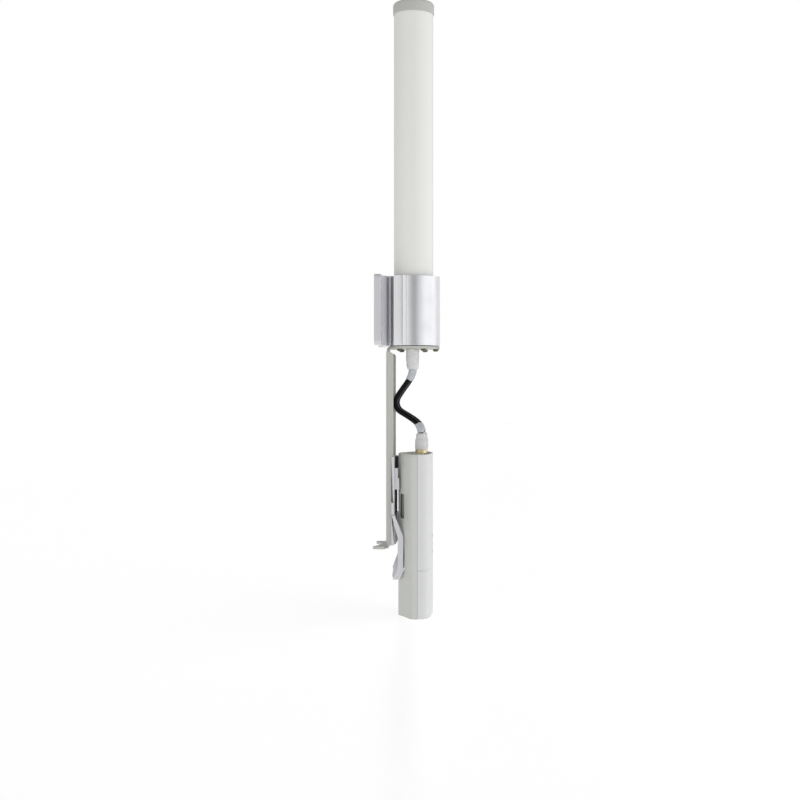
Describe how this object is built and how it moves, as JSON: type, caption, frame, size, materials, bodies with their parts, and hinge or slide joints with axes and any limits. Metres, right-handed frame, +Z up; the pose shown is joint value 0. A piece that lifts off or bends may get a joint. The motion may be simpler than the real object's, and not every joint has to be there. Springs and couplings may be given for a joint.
{
  "type": "omnidirectional antenna",
  "caption": "Slim upright omnidirectional antenna with an aluminium pole collar, and a box radio latched to its bent steel arm and fed by short jumpers.",
  "frame": {"origin": "centre of the four pole bolts, on the back face of the collar's flange", "axes": "+Z up along the radome, +X forwards, away from the pole and towards the radio's front, +Y across, so that +X, +Y and +Z are right-handed"},
  "size_m": [0.0652, 0.086, 0.6099],
  "materials": {
    "radome_plastic": "smooth white glass-fibre reinforced plastic, satin",
    "cap_plastic": "moulded light grey plastic, satin",
    "black_rubber": "matt black",
    "circuit_board": "green solder mask, satin",
    "copper": "tinned copper, satin",
    "inner_plastic": "natural white moulded plastic",
    "anodised_aluminium": "extruded, matt clear anodised",
    "coated_steel": "warm light grey coating on sheet steel, satin",
    "screw_steel": "plain steel, slightly dark",
    "plated_brass": "turned brass with pale plating, satin",
    "plated_steel": "tin plated, satin",
    "milky_boot": "milky translucent moulded plastic",
    "clear_sleeve": "clear shrink sleeve with glossy streaks",
    "cable_jacket": "black, satin",
    "mount_plastic": "cool light grey moulded plastic, fine grain",
    "rear_shell_plastic": "light grey moulded plastic, fine grain",
    "front_shell_plastic": "white moulded plastic, satin",
    "heat_metal": "plain",
    "switch_plastic": "black moulded plastic",
    "button_plastic": "dark moulded plastic",
    "light_pipe": "frosted clear plastic"
  },
  "bodies": {
    "antenna": {"radome_tube": "radome_plastic", "top_cap": "cap_plastic", "cap_seal": "black_rubber", "tube_seal": "black_rubber", "shell_gasket": "black_rubber", "base_gasket": "black_rubber", "mount_pad": "black_rubber", "radiator_board": "circuit_board", "radio_board": "circuit_board", "dipole_elements": "copper", "feed_coax_a": "copper", "feed_coax_b": "copper", "pigtail_a": "copper", "pigtail_b": "copper", "board_spacer_1": "inner_plastic", "board_spacer_2": "inner_plastic", "board_spacer_3": "inner_plastic", "base_plug": "inner_plastic", "base_extrusion": "anodised_aluminium", "bracket_arm": "coated_steel", "base_screws": "screw_steel", "mount_screws": "screw_steel", "board_screws": "screw_steel", "antenna_jack_a": "plated_brass", "antenna_jack_b": "plated_brass", "jack_nuts": "plated_brass", "radio_jack_a": "plated_brass", "radio_jack_b": "plated_brass", "upper_plug_a": "plated_steel", "upper_plug_b": "plated_steel", "lower_plug_a": "plated_steel", "lower_plug_b": "plated_steel", "shield_can": "plated_steel", "ethernet_jack": "plated_steel", "upper_boot_a": "milky_boot", "upper_boot_b": "milky_boot", "lower_boot_a": "milky_boot", "lower_boot_b": "milky_boot", "upper_sleeve_a": "clear_sleeve", "upper_sleeve_b": "clear_sleeve", "lower_sleeve_a": "clear_sleeve", "lower_sleeve_b": "clear_sleeve", "jumper_cable_a": "cable_jacket", "jumper_cable_b": "cable_jacket", "quick_mount": "mount_plastic", "radio_rear_shell": "rear_shell_plastic", "radio_front_shell": "front_shell_plastic", "heat_spreader": "heat_metal", "reset_switch": "switch_plastic", "light_pipes": "light_pipe"},
    "upper_nut_a": {"upper_nut_a": "plated_brass"},
    "upper_nut_b": {"upper_nut_b": "plated_brass"},
    "lower_nut_a": {"lower_nut_a": "plated_brass"},
    "lower_nut_b": {"lower_nut_b": "plated_brass"},
    "latch": {"latch": "mount_plastic"},
    "door": {"port_door": "front_shell_plastic"},
    "reset": {"reset_button": "button_plastic"}
  },
  "joints": [
    {"name": "upper_nut_a_turn", "type": "hinge", "parent": "antenna", "child": "upper_nut_a", "pos_m": [0.0356, -0.0145, -0.0444], "axis": [0, 0, 1], "continuous": true},
    {"name": "upper_nut_b_turn", "type": "hinge", "parent": "antenna", "child": "upper_nut_b", "pos_m": [0.0356, 0.0145, -0.0444], "axis": [0, 0, 1], "continuous": true},
    {"name": "lower_nut_a_turn", "type": "hinge", "parent": "antenna", "child": "lower_nut_a", "pos_m": [0.0447, -0.022, -0.1359], "axis": [0, 0, 1], "continuous": true},
    {"name": "lower_nut_b_turn", "type": "hinge", "parent": "antenna", "child": "lower_nut_b", "pos_m": [0.0447, 0.022, -0.1359], "axis": [0, 0, 1], "continuous": true},
    {"name": "latch_flex", "type": "hinge", "parent": "antenna", "child": "latch", "pos_m": [0.0176, 0, -0.2015], "axis": [0, 1, 0], "range_deg": [0, 5], "stiffness_Nm_per_rad": 1.6},
    {"name": "door_slide", "type": "slide", "parent": "antenna", "child": "door", "axis": [0, 0, -1], "range_m": [0, 0.045]},
    {"name": "reset_press", "type": "slide", "parent": "antenna", "child": "reset", "axis": [0, 0, 1], "range_m": [0, 0.0006], "stiffness_N_per_m": 2500}
  ]
}
